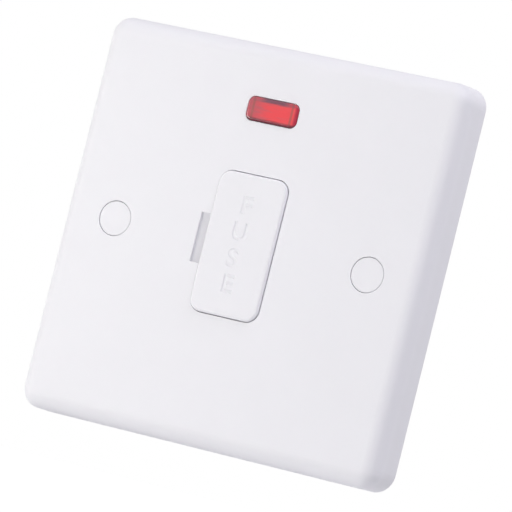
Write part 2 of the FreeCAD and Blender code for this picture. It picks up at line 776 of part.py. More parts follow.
def add_terminal_block(body, name, column, end):
    """A brass block of a terminal, standing on the pocket floor."""
    block = front_sketch(body, name, FLOOR, x=f"{column} * {TERMINAL_X}")
    rectangle(block, "-terminal_width / 2", "terminal_width / 2",
              f"{end} * {BLOCK_INNER}", f"{end} * {BLOCK_END}")
    pad(body, block, "terminal_depth")


def drill_terminal(body, name, column, end):
    """The hole for the wires, upright, and the tapped hole for the clamp screw, from the back."""
    wire = new_sketch(body, name + "_wire", "XY_Plane", out=f"{end} * {BLOCK_Z}")
    circle(wire, f"{column} * {TERMINAL_X}", WIRE_Y, "wire_radius")
    pocket(body, wire, "terminal_height", centred=True)
    tapped = front_sketch(body, name + "_tapped", FLOOR)
    circle(tapped, f"{column} * {TERMINAL_X}", f"{end} * {BLOCK_Z}", "clamp_radius + thread_gap")
    pocket(body, tapped, f"{FLOOR} - {WIRE_Y}")


def make_live_terminal(label, end):
    body = new_body(label)
    add_terminal_block(body, "block", 0, end)
    drill_terminal(body, "terminal", 0, end)


def make_terminal_bar(label, column):
    """Supply and load terminals of one conductor, joined by a link along the pocket floor."""
    body = new_body(label)
    add_terminal_block(body, "supply_block", column, 1)
    link = front_sketch(body, "link", FLOOR, x=f"{column} * {TERMINAL_X}")
    rectangle(link, f"-{column} * terminal_width / 2", f"{column} * (link_width - terminal_width / 2)",
              f"-{BLOCK_INNER}", BLOCK_INNER)
    pad(body, link, "link_thick")
    add_terminal_block(body, "load_block", column, -1)
    drill_terminal(body, "supply_terminal", column, 1)
    drill_terminal(body, "load_terminal", column, -1)


def make_screw(label, x, z, profile_points, head_radius, slot_back):
    """A turned screw along Y with a driver slot in the back of its head."""
    body = new_body(label)
    profile = new_sketch(body, "screw_profile", "XY_Plane", x=x, out=z)
    polygon(profile, profile_points)
    turn(body, profile)
    slot = front_sketch(body, "driver_slot", slot_back, x=x, z=z)
    reach = f"({head_radius} + {BEYOND})"
    rectangle(slot, f"-{reach}", reach, "-slot_width / 2", "slot_width / 2")
    pocket(body, slot, "slot_depth")


def make_clamp_screw(label, column, end):
    """A terminal screw, backed off so that its terminal is open."""
    seat = f"({FLOOR} + clamp_raised)"
    head = f"({seat} + clamp_head_thick)"
    tip = f"({WIRE_Y} + wire_radius + clamp_raised)"
    points = [
        ("0", tip),
        ("clamp_radius - clamp_bevel", tip),
        ("clamp_radius", f"{tip} + clamp_bevel"),
        ("clamp_radius", seat),
        ("clamp_head_radius", seat),
        ("clamp_head_radius", head),
        ("0", head),
    ]
    place = (f"{column} * {TERMINAL_X}", f"{end} * {BLOCK_Z}")
    make_screw(label, *place, points, "clamp_head_radius", head)


def make_joint_screw(label, side, end):
    """A screw from the back of the housing into a pillar of the plate."""
    head = f"({FLOOR} + joint_head_thick)"
    tip = f"({INNER_FACE} + pillar_bottom + joint_tip_gap)"
    points = [
        ("0", tip),
        ("joint_radius", f"{tip} + joint_radius"),
        ("joint_radius", FLOOR),
        ("joint_head_radius", FLOOR),
        ("joint_head_radius", f"{head} - joint_head_bevel"),
        ("joint_head_radius - joint_head_bevel", head),
        ("0", head),
    ]
    place = (f"{side} * {PILLAR_X}", f"{end} * pillar_z")
    make_screw(label, *place, points, "joint_head_radius", head)


# Power indicator

def make_neon_lens():
    """A hollow lens with a flange behind the plate and two cheeks that hold the lamp."""
    body = new_body("neon_lens")
    half_x, half_z = "lens_width / 2", "lens_height / 2"
    face = front_sketch(body, "lens_face", "-(plate_depth + lens_proud)", z="lens_up")
    rounded_rectangle(face, f"-{half_x}", half_x, f"-{half_z}", half_z, "lens_corner")
    pad(body, face, "front_wall + lens_proud", along=-1)
    front = -number("plate_depth + lens_proud")
    round_edges(body, "lens_round", lambda edge: lies_at(edge, "Y", front), "lens_front_round")
    flange = front_sketch(body, "lens_flange", INNER_FACE, z="lens_up")
    rectangle(flange, f"-{FLANGE_X}", FLANGE_X, f"-{FLANGE_Z}", FLANGE_Z)
    pad(body, flange, "flange_thick", along=-1)
    hollow = front_sketch(body, "lens_hollow", FLANGE_BACK, z="lens_up")
    in_x, in_z = f"({half_x} - lens_side)", f"({half_z} - lens_edge)"
    rectangle(hollow, f"-{in_x}", in_x, f"-{in_z}", in_z)
    pocket(body, hollow, "front_wall + lens_proud + flange_thick - lens_face")
    cheeks = front_sketch(body, "lens_cheeks", FLANGE_BACK, z="lens_up")
    cheek_z = f"({FLANGE_Z} - cheek_inset)"
    for side in (-1, 1):
        rectangle(cheeks, f"{side} * {in_x}", f"{side} * {half_x}", f"-{cheek_z}", cheek_z)
    pad(body, cheeks, f"{LAMP_Y} + cheek_past - {FLANGE_BACK}", along=-1)
    seat = new_sketch(body, "lamp_seat", "YZ_Plane")
    circle(seat, LAMP_Y, "lens_up", "lamp_radius + lamp_gap")
    pocket(body, seat, "lens_width", centred=True)
    way = new_sketch(body, "lamp_way", "YZ_Plane")
    half_way = "(lamp_radius + lamp_gap - cheek_snap)"
    way_end = f"{LAMP_Y} + cheek_past + {BEYOND}"
    rectangle(way, LAMP_Y, way_end, f"lens_up - {half_way}", f"lens_up + {half_way}")
    pocket(body, way, "lens_width", centred=True)


def primitive(kind, name, sizes, place):
    """A plain solid whose sizes and place are formulas."""
    solid = doc.addObject("Part::" + kind, name)
    for key, text in sizes.items():
        bind(solid, key, text)
    for axis, text in zip("xyz", place):
        bind(solid, f".Placement.Base.{axis}", text)
    solid.Placement.Rotation = FreeCAD.Rotation(FreeCAD.Vector(0, 1, 0), 90)
    return solid


def boolean(kind, name, base, tool):
    result = doc.addObject("Part::" + kind, name)
    result.Base = base
    result.Tool = tool
    return result


def make_neon_lamp():
    """A small glass envelope, round at its left end, flat at its right, where two leads come out."""
    left = f"(lamp_radius - {LAMP_END})"
    inner = "lamp_radius - lamp_glass"
    outer_tube = primitive("Cylinder", "lamp_tube", {
        "Radius": "lamp_radius", "Height": f"2 * {LAMP_END} - lamp_radius"}, (left, LAMP_Y, "lens_up"))
    outer_tip = primitive("Sphere", "lamp_tip", {"Radius": "lamp_radius"}, (left, LAMP_Y, "lens_up"))
    inner_tube = primitive("Cylinder", "lamp_bore", {
        "Radius": inner, "Height": f"2 * {LAMP_END} - lamp_radius - 2 * lamp_glass"},
        (left, LAMP_Y, "lens_up"))
    inner_tip = primitive("Sphere", "lamp_bore_tip", {"Radius": inner}, (left, LAMP_Y, "lens_up"))
    envelope = boolean("Fuse", "lamp_outside", outer_tube, outer_tip)
    space = boolean("Fuse", "lamp_inside", inner_tube, inner_tip)
    glass = boolean("Cut", "lamp_shell", envelope, space)
    for side in (-1, 1):
        hole = primitive("Cylinder", "lead_hole", {
            "Radius": "lead_radius + lead_gap", "Height": LAMP_END},
            ("0", LAMP_Y, f"lens_up + {side} * lead_spacing / 2"))
        glass = boolean("Cut", "lamp_glass_part", glass, hole)
    glass.Label = "neon_lamp"
    sub_parts.append(glass)


def bent_path(points, bend):
    """Straight runs through the points with an arc of one radius at each turn."""
    edges = []
    start = points[0]
    for before, corner, after in zip(points, points[1:], points[2:]):
        to_start = (before - corner).normalize()
        to_end = (after - corner).normalize()
        half_turn = (math.pi - to_start.getAngle(to_end)) / 2
        tangent = bend * math.tan(half_turn)
        first = corner + to_start * tangent
        last = corner + to_end * tangent
        inward = (to_start + to_end).normalize()
        middle = corner + inward * (bend / math.cos(half_turn) - bend)
        edges.append(Part.LineSegment(start, first).toShape())
        edges.append(Part.Arc(first, middle, last).toShape())
        start = last
    edges.append(Part.LineSegment(start, points[-1]).toShape())
    return Part.Wire(edges)


def make_lead(label, places):
    """A round wire along straight runs joined by arcs."""
    points = [FreeCAD.Vector(*(number(text) for text in place)) for place in places]
    path = bent_path(points, number("lead_bend"))
    radius = number("lead_radius")
    section = Part.Wire(Part.makeCircle(radius, points[0], points[1] - points[0]))
    wire = path.makePipeShell([section], True, False)
    expected = math.pi * radius ** 2 * path.Length
    if abs(wire.Volume - expected) > 0.01 * expected:
        raise RuntimeError(f"{label}: volume {wire.Volume:.3f}, expected {expected:.3f}")
    lead = doc.addObject("Part::Feature", label)
    lead.Shape = wire
    lead.Label = label
    sub_parts.append(lead)


def make_neon_wiring():
    """The lamp lies between load live and, through a resistor, neutral."""
    upper = "lens_up + lead_spacing / 2"
    lower = "lens_up - lead_spacing / 2"
    inside = f"{LAMP_END} - electrode_length"
    run_x = f"({SHAFT_X} + lead_run_gap)"
    tail_z = f"({BLOCK_INNER} + tail_inset)"
    resistor_top = f"(({upper} + {tail_z} + resistor_length) / 2)"
    resistor_end = f"({resistor_top} - resistor_length)"
    load_x = "terminal_width / 4"
    make_lead("neon_load_lead", [
        (inside, LAMP_Y, lower),
        (run_x, LAMP_Y, lower),
        (run_x, LAMP_Y, f"-{BLOCK_Z}"),
        (load_x, LAMP_Y, f"-{BLOCK_Z}"),
        (load_x, BLOCK_FRONT, f"-{BLOCK_Z}"),
    ])
    make_lead("neon_resistor_lead", [
        (inside, LAMP_Y, upper),
        (TERMINAL_X, LAMP_Y, upper),
        (TERMINAL_X, LAMP_Y, resistor_top),
    ])
    make_lead("resistor_neutral_lead", [
        (TERMINAL_X, LAMP_Y, resistor_end),
        (TERMINAL_X, LAMP_Y, tail_z),
        (TERMINAL_X, BLOCK_FRONT, tail_z),
    ])
    body = new_body("neon_resistor")
    profile = front_sketch(body, "resistor_profile", LAMP_Y, x=TERMINAL_X)
    polygon(profile, [
        ("0", resistor_end),
        ("resistor_radius", resistor_end),
        ("resistor_radius", f"{resistor_end} + resistor_cuff"),
        ("resistor_waist", f"{resistor_end} + resistor_cuff + resistor_slope"),
        ("resistor_waist", f"{resistor_top} - resistor_cuff - resistor_slope"),
        ("resistor_radius", f"{resistor_top} - resistor_cuff"),
        ("resistor_radius", resistor_top),
        ("0", resistor_top),
    ])
    turn(body, profile)


def write_parts():
    """Check every object, then write each sub-part under its own name."""
    doc.recompute()
    for item in doc.Objects:
        if "Invalid" in item.State or "Error" in item.State:
            raise RuntimeError(f"{item.Label} did not build: {item.State}")
    for item in sub_parts:
        shape = item.Shape
        if shape.isNull() or not shape.isValid() or len(shape.Solids) != 1:
            raise RuntimeError(f"{item.Label} is not one valid solid")
    os.makedirs("parts", exist_ok=True)
    for item in sub_parts:
        item.Shape.exportStep(f"parts/{item.Label}.step")
        print(f"{item.Label}: {item.Shape.Volume:.1f} mm3")


make_front_plate()
make_screw_cap("screw_cap_left", -1)
make_screw_cap("screw_cap_right", 1)
make_fuse_carrier()
make_fuse()
make_fuse_clip("supply_clip", 1)
make_fuse_clip("load_clip", -1)
make_rear_housing()
make_live_terminal("live_supply_terminal", 1)
make_live_terminal("live_load_terminal", -1)
make_terminal_bar("neutral_bar", 1)
make_terminal_bar("earth_bar", -1)
for end, end_name in ((1, "supply"), (-1, "load")):
    for column, column_name in ((-1, "earth"), (0, "live"), (1, "neutral")):
        make_clamp_screw(f"{column_name}_{end_name}_screw", column, end)
for side, side_name in ((-1, "left"), (1, "right")):
    for end, end_name in ((-1, "lower"), (1, "upper")):
        make_joint_screw(f"housing_screw_{side_name}_{end_name}", side, end)
make_neon_lens()
make_neon_lamp()
make_neon_wiring()
write_parts()
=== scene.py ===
import json
import math

import bmesh
import bpy
import numpy as np
from mathutils import Matrix, Vector


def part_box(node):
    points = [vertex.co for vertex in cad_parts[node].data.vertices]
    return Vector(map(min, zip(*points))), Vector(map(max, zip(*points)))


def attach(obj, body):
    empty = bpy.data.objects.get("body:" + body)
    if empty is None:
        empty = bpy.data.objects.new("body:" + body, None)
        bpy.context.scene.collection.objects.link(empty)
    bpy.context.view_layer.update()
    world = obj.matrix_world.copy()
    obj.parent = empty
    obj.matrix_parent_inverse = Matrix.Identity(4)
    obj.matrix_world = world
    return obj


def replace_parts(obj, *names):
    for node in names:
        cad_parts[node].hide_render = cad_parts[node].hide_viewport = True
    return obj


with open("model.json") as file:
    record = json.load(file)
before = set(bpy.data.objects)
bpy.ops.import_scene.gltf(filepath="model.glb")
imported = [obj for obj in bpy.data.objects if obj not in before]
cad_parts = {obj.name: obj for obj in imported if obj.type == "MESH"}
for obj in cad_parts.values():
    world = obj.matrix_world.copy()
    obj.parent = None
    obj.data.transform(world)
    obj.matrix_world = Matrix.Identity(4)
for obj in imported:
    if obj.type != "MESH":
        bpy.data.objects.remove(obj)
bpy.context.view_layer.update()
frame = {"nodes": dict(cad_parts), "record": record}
nodes = frame["nodes"]
mm = 0.001
white = (1.0, 1.0, 1.0)
print("frame loaded:", len(nodes), "nodes")


def middleOf(node):
    # the middle of a node's box, in mm
    low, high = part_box(node)
    return (low + high) / 2 / mm


def unitTowards(azimuth, elevation):
    # unit vector from the object, with the azimuth round from straight in front and the elevation up
    az, el = math.radians(azimuth), math.radians(elevation)
    return Vector((math.sin(az) * math.cos(el), -math.cos(az) * math.cos(el), math.sin(el)))


def addObject(name, data):
    # a new object at the origin, unturned and unscaled
    obj = bpy.data.objects.new(name, data)
    bpy.context.scene.collection.objects.link(obj)
    return obj


# Camera

camera = {
    "azimuth": 26.55,        # degrees, round the upright axis from straight in front
    "elevation": -2.59,      # a little below the middle of the plate
    "roll": 14.02,
    "distance": 950.96,      # mm from the middle of the wall plane
    "across": 0.55,          # mm that the aim is moved right
    "up": 0.66,              # mm that the aim is moved up
    "focalPixels": 4521.2,
    "framePixels": 512,
    "sensorWidth": 36.0,     # mm
    "clip": (0.05, 20),      # m
}


def placeCamera(c):
    # right and up lie square to the way back from the aim and are turned round it by the roll
    back = unitTowards(c["azimuth"], c["elevation"])
    roll = math.radians(c["roll"])
    right = (-back).cross(Vector((0, 0, 1))).normalized()
    up = right.cross(-back)
    rolledRight = right * math.cos(roll) + up * math.sin(roll)
    rolledUp = up * math.cos(roll) - right * math.sin(roll)
    spot = (back * c["distance"] - rolledRight * c["across"] - rolledUp * c["up"]) * mm
    data = bpy.data.cameras.new("photoCamera")
    data.sensor_width = c["sensorWidth"]
    data.lens = c["sensorWidth"] * c["focalPixels"] / c["framePixels"]
    data.clip_start, data.clip_end = c["clip"]
    obj = addObject("photoCamera", data)
    turned = Matrix((rolledRight, rolledUp, back)).transposed().to_4x4()
    obj.matrix_world = Matrix.Translation(spot) @ turned
    bpy.context.scene.camera = obj


placeCamera(camera)
print("camera placed")


# Node helpers

noiseMiddle = (0.3, 0.7)     # nearly all values of a noise lie between these


class Finish:
    # one material with a principled shader, fed by the object's own coordinates in mm
    def __init__(self, name, color, roughness, metallic=0.0, specular=0.5):
        self.material = bpy.data.materials.new(name)
        self.material.use_nodes = True
        self.tree = self.material.node_tree
        self.tree.nodes.clear()
        self.shader = self.node("ShaderNodeBsdfPrincipled")
        self.out = self.node("ShaderNodeOutputMaterial")
        self.link(self.shader.outputs["BSDF"], self.out.inputs["Surface"])
        self.set("Base Color", (*color, 1.0))
        self.set("Roughness", roughness)
        self.set("Metallic", metallic)
        self.set("Specular IOR Level", specular)
        coords = self.node("ShaderNodeTexCoord")
        scaled = self.node("ShaderNodeVectorMath")
        scaled.operation = "SCALE"
        scaled.inputs["Scale"].default_value = 1 / mm
        self.link(coords.outputs["Object"], scaled.inputs[0])
        self.place = scaled.outputs["Vector"]
        self.normal = None

    def node(self, kind):
        # a new node of this kind
        return self.tree.nodes.new(kind)

    def link(self, source, target):
        self.tree.links.new(source, target)

    def set(self, socket, value):
        # a fixed value for one of the shader's inputs
        self.shader.inputs[socket].default_value = value

    def feed(self, socket, source):
        # a node's output for one of the shader's inputs
        self.link(source, self.shader.inputs[socket])

    def noise(self, cell, detail, finer=None):
        # smooth noise with cells of about this many mm, so many times finer along each axis if asked
        source = self.place
        if finer:
            mapping = self.node("ShaderNodeMapping")
            mapping.inputs["Scale"].default_value = finer
            self.link(source, mapping.inputs["Vector"])
            source = mapping.outputs["Vector"]
        node = self.node("ShaderNodeTexNoise")
        node.inputs["Scale"].default_value = 1 / cell
        node.inputs["Detail"].default_value = detail
        self.link(source, node.inputs["Vector"])
        return node.outputs["Fac"]

    def rings(self, radius, perMm, detail):
        # noise along the radius only
        node = self.node("ShaderNodeTexNoise")
        node.noise_dimensions = "1D"
        node.inputs["Scale"].default_value = perMm
        node.inputs["Detail"].default_value = detail
        self.link(radius, node.inputs["W"])
        return node.outputs["Fac"]

    def axis(self, name):
        # one of the three coordinates, in mm
        split = self.node("ShaderNodeSeparateXYZ")
        self.link(self.place, split.inputs[0])
        return split.outputs[name]

    def math(self, operation, *values):
        # one operation on numbers or other nodes' outputs
        node = self.node("ShaderNodeMath")
        node.operation = operation
        for socket, value in zip(node.inputs, values):
            if isinstance(value, (int, float)):
                socket.default_value = value
            else:
                self.link(value, socket)
        return node.outputs[0]

    def beyond(self, source, place):
        # how far the source is past the nearer of the two places at plus and minus this
        return self.math("SUBTRACT", self.math("ABSOLUTE", source), place)

    def spread(self, source, low, high, fromLow, fromHigh):
        # maps a range onto another, smoothly at both ends
        node = self.node("ShaderNodeMapRange")
        node.interpolation_type = "SMOOTHSTEP"
        node.inputs["From Min"].default_value = fromLow
        node.inputs["From Max"].default_value = fromHigh
        node.inputs["To Min"].default_value = low
        node.inputs["To Max"].default_value = high
        self.link(source, node.inputs["Value"])
        return node.outputs["Result"]

    def fade(self, source, first, second, stops=noiseMiddle):
        # the first color up to the first stop, then evenly over to the second color at the second stop
        node = self.node("ShaderNodeValToRGB")
        self.link(source, node.inputs["Fac"])
        for element, stop, color in zip(node.color_ramp.elements, stops, (first, second)):
            element.position = stop
            element.color = (*color, 1.0)
        return node.outputs["Color"]

    def mix(self, share, first, second):
        # the share of the second color over the first
        node = self.node("ShaderNodeMix")
        node.data_type = "RGBA"
        self.link(share, node.inputs[0])
        for socket, color in ((node.inputs[6], first), (node.inputs[7], second)):
            if isinstance(color, tuple):
                socket.default_value = (*color, 1.0)
            else:
                self.link(color, socket)
        return node.outputs[2]

    def roughen(self, source, roughness, atLow, atHigh):
        # the roughness changes by atLow where the noise is low and by atHigh where it is high
        self.feed("Roughness", self.spread(source, roughness + atLow, roughness + atHigh, *noiseMiddle))

    def bump(self, height, depth, strength):
        # depth is the height of the relief in mm, laid over the relief before it
        node = self.node("ShaderNodeBump")
        node.inputs["Distance"].default_value = depth * mm
        node.inputs["Strength"].default_value = strength
        self.link(height, node.inputs["Height"])
        if self.normal:
            self.link(self.normal, node.inputs["Normal"])
        self.normal = node.outputs["Normal"]
        self.feed("Normal", self.normal)

    def relief(self, cell, detail, depth, strength):
        # a bump whose height is a noise
        self.bump(self.noise(cell, detail), depth, strength)


def tint(color, amount):
    # red, green and blue times the amount, up to full brightness
    return tuple(min(1.0, part * amount) for part in color)


# White mouldings

# In this and the next dictionaries a noise is: mm between its spots, detail. A relief adds its depth
# in mm and its strength. A sheen is the change of roughness where the noise is low and where it is high.
moulding = {
    "color": (0.865, 0.858, 0.893),
    "roughness": 0.52,
    "specular": 0.42,
    "bleed": 0.2,                          # share of the light that goes through the outer skin
    "bleedDepth": 0.6,                     # mm
    "bleedColor": (1.0, 0.9, 0.95),
    "cloud": (14.0, 3.0),
    "cloudTint": 0.992,
    "speck": (0.16, 2.0),
    "speckTint": 0.94,
    "speckShare": (0.0, 0.025, 0.6, 0.8),  # none and most of it, and the noise's values there
    "gloss": (3.0, 4.0),
    "sheen": (-0.02, 0.03),
    "swell": (9.0, 1.0, 0.012, 0.35),      # the slow hollows left by cooling
    "grain": (0.35, 3.0, 0.0015, 0.5),     # the fine pits of the tool's surface
}


def whiteMoulding(name, c):
    # nearly even color with faint clouds and specks, light in its skin, slow hollows and fine pits
    f = Finish(name, c["color"], c["roughness"], specular=c["specular"])
    f.set("Subsurface Weight", c["bleed"])
    f.set("Subsurface Radius", c["bleedColor"])
    f.set("Subsurface Scale", c["bleedDepth"] * mm)
    base = f.fade(f.noise(*c["cloud"]), tint(c["color"], c["cloudTint"]), c["color"])
    specks = f.spread(f.noise(*c["speck"]), *c["speckShare"])
    f.feed("Base Color", f.mix(specks, base, tint(c["color"], c["speckTint"])))
    f.roughen(f.noise(*c["gloss"]), c["roughness"], *c["sheen"])
    f.relief(*c["swell"])
    f.relief(*c["grain"])
    return f.material


# Inner mouldings

innerMoulding = {
    "color": (0.80, 0.80, 0.785),
    "roughness": 0.5,
    "specular": 0.35,
    "cloud": (9.0, 4.0),
    "cloudTint": 0.95,
    "gloss": (1.6, 4.0),
    "sheen": (-0.08, 0.1),
    "swell": (6.0, 1.0, 0.03, 0.4),
    "grain": (0.22, 4.0, 0.012, 0.6),
}


def housingMoulding(name, c):
    # as the white moulding, but greyer, coarser and without light in its skin
    f = Finish(name, c["color"], c["roughness"], specular=c["specular"])
    f.feed("Base Color", f.fade(f.noise(*c["cloud"]), tint(c["color"], c["cloudTint"]), c["color"]))
    f.roughen(f.noise(*c["gloss"]), c["roughness"], *c["sheen"])
    f.relief(*c["swell"])
    f.relief(*c["grain"])
    return f.material


# Metals

metals = {
    # color, color of its stains, roughness
    "bronze": ((0.66, 0.41, 0.22), (0.45, 0.25, 0.13), 0.26),
    "brass": ((0.78, 0.57, 0.24), (0.58, 0.40, 0.16), 0.3),
    "screwBrass": ((0.78, 0.57, 0.24), (0.58, 0.40, 0.16), 0.28),
    "screwSteel": ((0.60, 0.61, 0.62), (0.42, 0.43, 0.45), 0.28),
    # plated metals: color, roughness
    "nickel": ((0.70, 0.68, 0.64), 0.16),
    "silver": ((0.66, 0.66, 0.67), 0.16),
    "tin": ((0.66, 0.66, 0.67), 0.24),
}

cutting = {
    "marks": (0.09, 4.0),
    "rolled": (1, 1, 12),          # how much finer the marks are along x, y and z
    "sawn": (12, 1, 12),
    "markDepth": (0.006, 0.5),     # mm, strength
    "stain": (2.6, 5.0),
    "stainStops": (0.32, 0.6),
    "sheen": (-0.08, 0.14),
}


def cutMetal(name, color, shade, roughness, finer):
    # fine parallel tool marks across one axis, and slow staining
    c = cutting
    f = Finish(name, color, roughness, metallic=1.0)
    marks = f.noise(*c["marks"], finer)
    f.feed("Base Color", f.fade(f.noise(*c["stain"]), shade, color, c["stainStops"]))
    f.roughen(marks, roughness, *c["sheen"])
    f.bump(marks, *c["markDepth"])
    return f.material


turning = {
    "rings": (9.0, 3.0),           # rings in a mm, detail
    "ringDepth": (0.01, 0.6),
    "stain": (1.4, 5.0),
    "stainStops": (0.32, 0.6),
    "sheen": (-0.08, 0.14),
}
liveScrew, neutralScrew = middleOf("live_supply_screw"), middleOf("neutral_supply_screw")
clampPitch = neutralScrew.x - liveScrew.x
clampRow = liveScrew.z
housingScrew = middleOf("housing_screw_right_upper")


def fromClampScrew(f):
    # x wraps round from screw to screw across, and z is mirrored, so that all fall onto one screw
    half = clampPitch / 2
    return f.math("WRAP", f.axis("X"), half, -half), f.beyond(f.axis("Z"), clampRow)


def fromHousingScrew(f):
    # x and z are mirrored, so that the four screws fall onto one
    return f.beyond(f.axis("X"), housingScrew.x), f.beyond(f.axis("Z"), housingScrew.z)


def turnedMetal(name, color, shade, roughness, fromScrew):
    # rings round the axis of each screw: radius = root of x squared plus z squared, from that screw
    c = turning
    f = Finish(name, color, roughness, metallic=1.0)
    x, z = fromScrew(f)
    radius = f.math("SQRT", f.math("ADD", f.math("MULTIPLY", x, x), f.math("MULTIPLY", z, z)))
    rings = f.rings(radius, *c["rings"])
    f.feed("Base Color", f.fade(f.noise(*c["stain"]), shade, color, c["stainStops"]))
    f.roughen(rings, roughness, *c["sheen"])
    f.bump(rings, *c["ringDepth"])
    return f.material


plating = {
    "cloud": (1.8, 5.0),
    "cloudTint": 0.86,
    "cloudStops": (0.3, 0.65),
    "sheen": (0.14, -0.02),
    "grain": (0.25, 3.0, 0.003, 0.4),
}


def platedMetal(name, color, roughness):
    # bright metal that is darker and duller in the same patches
    c = plating
    f = Finish(name, color, roughness, metallic=1.0)
    cloud = f.noise(*c["cloud"])
    f.feed("Base Color", f.fade(cloud, tint(color, c["cloudTint"]), color, c["cloudStops"]))
    f.roughen(cloud, roughness, *c["sheen"])
    f.relief(*c["grain"])
    return f.material


# Fuse body

ceramic = {
    "color": (0.84, 0.815, 0.75),
    "roughness": 0.62,
    "specular": 0.3,
    "cloud": (3.0, 4.0),
    "cloudTint": 0.93,
    "pores": (0.12, 5.0),
    "poreDepth": (0.02, 0.6),      # mm, strength
    "sheen": (-0.12, 0.13),
    "band": (0.30, 0.13, 0.06),    # the brown printed band of a 13 A rating
    "bandHalf": 2.6,               # mm from its middle to its edge
    "bandBlur": 0.12,
    "bandRagged": 0.25,
}


def firedCeramic(name, c):
    # chalky body with fine pores, and a band where z, moved by the pores, is less than its half height
    f = Finish(name, c["color"], c["roughness"], specular=c["specular"])
    pores = f.noise(*c["pores"])
    body = f.fade(f.noise(*c["cloud"]), tint(c["color"], c["cloudTint"]), c["color"])
    ragged = f.math("ADD", f.math("ABSOLUTE", f.axis("Z")), f.math("MULTIPLY", pores, c["bandRagged"]))
    band = f.spread(ragged, 1.0, 0.0, c["bandHalf"], c["bandHalf"] + c["bandBlur"])
    f.feed("Base Color", f.mix(band, body, c["band"]))
    f.roughen(pores, c["roughness"], *c["sheen"])
    f.bump(pores, *c["poreDepth"])
    return f.material


# Power indicator

# In this dictionary each color but the first is painted light: the first after it a painted highlight, the
# rest painted shade. Each has a share, written as its value at the first and at the second place, and the
# places in mm. They are measured along the face from its middle, or from an edge.
lens = {
    "color": (1.0, 0.080, 0.095),
    "roughness": 0.12,
    "specular": 0.4,
    "clear": 0.15,                           # share of the light that passes through
    "ior": 1.49,
    "halfWide": 5.95,
    "halfHigh": 2.55,
    "cheek": 1.4,                            # mm from the face's end to the cheek that holds the lamp
    "swirl": (1.2, 3.0, (0.25, 1, 1.9)),     # noise, and how much finer it is along x, y and z
    "ripple": 0.5,                           # mm that the swirl moves the upper and lower layers by
    "sheen": (-0.03, 0.05),
    "waves": (0.8, 2.0, 0.01, 0.4),
    # painted highlight: a pale glint over the left of the face, with streaks of it
    "paintedHighlight": (0.56, 0.115, 0.145),
    "highlightLeft": (0.9, 0.0),                  # painted highlight, at the left end and at the middle
    "highlightStreaks": (0.0, 0.6, 0.46, 0.68),       # painted highlight streaks too, by the swirl's values
    "highlightStreaksAlong": (1.0, 0.3, -3.0, 3.0),
    # painted shade: a brownish line where each cheek stands behind the face
    "paintedCheekShade": (0.36, 0.12, 0.095),
    "cheekShadeOut": (0.65, 0.0, 0.08, 0.42),      # painted shade, both ways from the middle of a cheek
    "shade": (0.16, 0.085, 0.125),           # painted shade of the upper inner wall, seen through the face
    "shadeUp": (0.0, 0.95, -1.2, -0.65),     # from the upper edge
    "shadeLeft": (0.2, 0.95, -4.0, -1.5),
    "shadeRight": (1.0, 0.45, 2.2, 4.6),
    # painted shade at the right end
    "paintedRightShade": (0.50, 0.012, 0.055),
    "rightShadeIn": (0.0, 0.85, -0.95, -0.35),   # painted shade, from the right end
    # painted shade along the lower edge
    "paintedLowerShade": (0.16, 0.012, 0.03),
    "lowerShadeUp": (0.95, 0.0, 0.3, 0.85),      # painted shade, from the lower edge
}


def redLens(name, c):
    # clear red moulding, bright over the hollow, with a painted highlight at the left and painted shade
    # where a wall or a cheek stands behind the face, at the right end and along the lower edge
    f = Finish(name, c["color"], c["roughness"], specular=c["specular"])
    f.set("Transmission Weight", c["clear"])
    f.set("IOR", c["ior"])
    wide, high = c["halfWide"], c["halfHigh"]
    x, z = f.axis("X"), f.math("SUBTRACT", f.axis("Z"), middleOf("neon_lens").z)
    swirl = f.noise(*c["swirl"])
    ripple = f.math("ADD", z, f.math("MULTIPLY", f.math("SUBTRACT", swirl, 0.5), c["ripple"]))

    def part(source, key, start=0.0):
        # a share that goes over from its low to its high value between two places counted from the start
        low, high, first, second = c[key]
        return f.spread(source, low, high, start + first, start + second)

    # painted highlight: its share is largest at the left end, and its streaks fade out towards the right
    left = f.spread(x, *c["highlightLeft"], -wide, 0.0)
    highlightStreaks = f.math("MULTIPLY", part(swirl, "highlightStreaks"), part(x, "highlightStreaksAlong"))
    # painted shade where each cheek stands behind the face
    fromCheek = f.math("ABSOLUTE", f.beyond(x, wide - c["cheek"]))
    # painted shade along the upper edge, weaker towards both ends
    shadeAlong = f.math("MULTIPLY", part(x, "shadeLeft"), part(x, "shadeRight"))
    color = f.mix(left, c["color"], c["paintedHighlight"])
    color = f.mix(highlightStreaks, color, c["paintedHighlight"])
    color = f.mix(part(fromCheek, "cheekShadeOut"), color, c["paintedCheekShade"])
    color = f.mix(f.math("MULTIPLY", part(ripple, "shadeUp", high), shadeAlong), color, c["shade"])
    # painted shade at the right end
    color = f.mix(part(x, "rightShadeIn", wide), color, c["paintedRightShade"])
    # painted shade along the lower edge
    color = f.mix(part(ripple, "lowerShadeUp", -high), color, c["paintedLowerShade"])
    f.feed("Base Color", color)
    f.roughen(swirl, c["roughness"], *c["sheen"])
    f.relief(*c["waves"])
    return f.material


lamp = {
    "color": (0.97, 0.93, 0.9),
    "roughness": 0.04,
    "clear": 0.95,
    "ior": 1.5,
    "film": (2.0, 4.0),
    "filmDark": (0.86, 0.78, 0.74),
    "filmLight": (0.97, 0.94, 0.92),
    "filmStops": (0.35, 0.65),
    "sheen": (-0.01, 0.08),
}


def lampGlass(name, c):
    # clear glass with a thin brownish film in patches
    f = Finish(name, c["color"], c["roughness"])
    f.set("Transmission Weight", c["clear"])
    f.set("IOR", c["ior"])
    film = f.noise(*c["film"])
    f.feed("Base Color", f.fade(film, c["filmDark"], c["filmLight"], c["filmStops"]))
    f.roughen(film, c["roughness"], *c["sheen"])
    return f.material


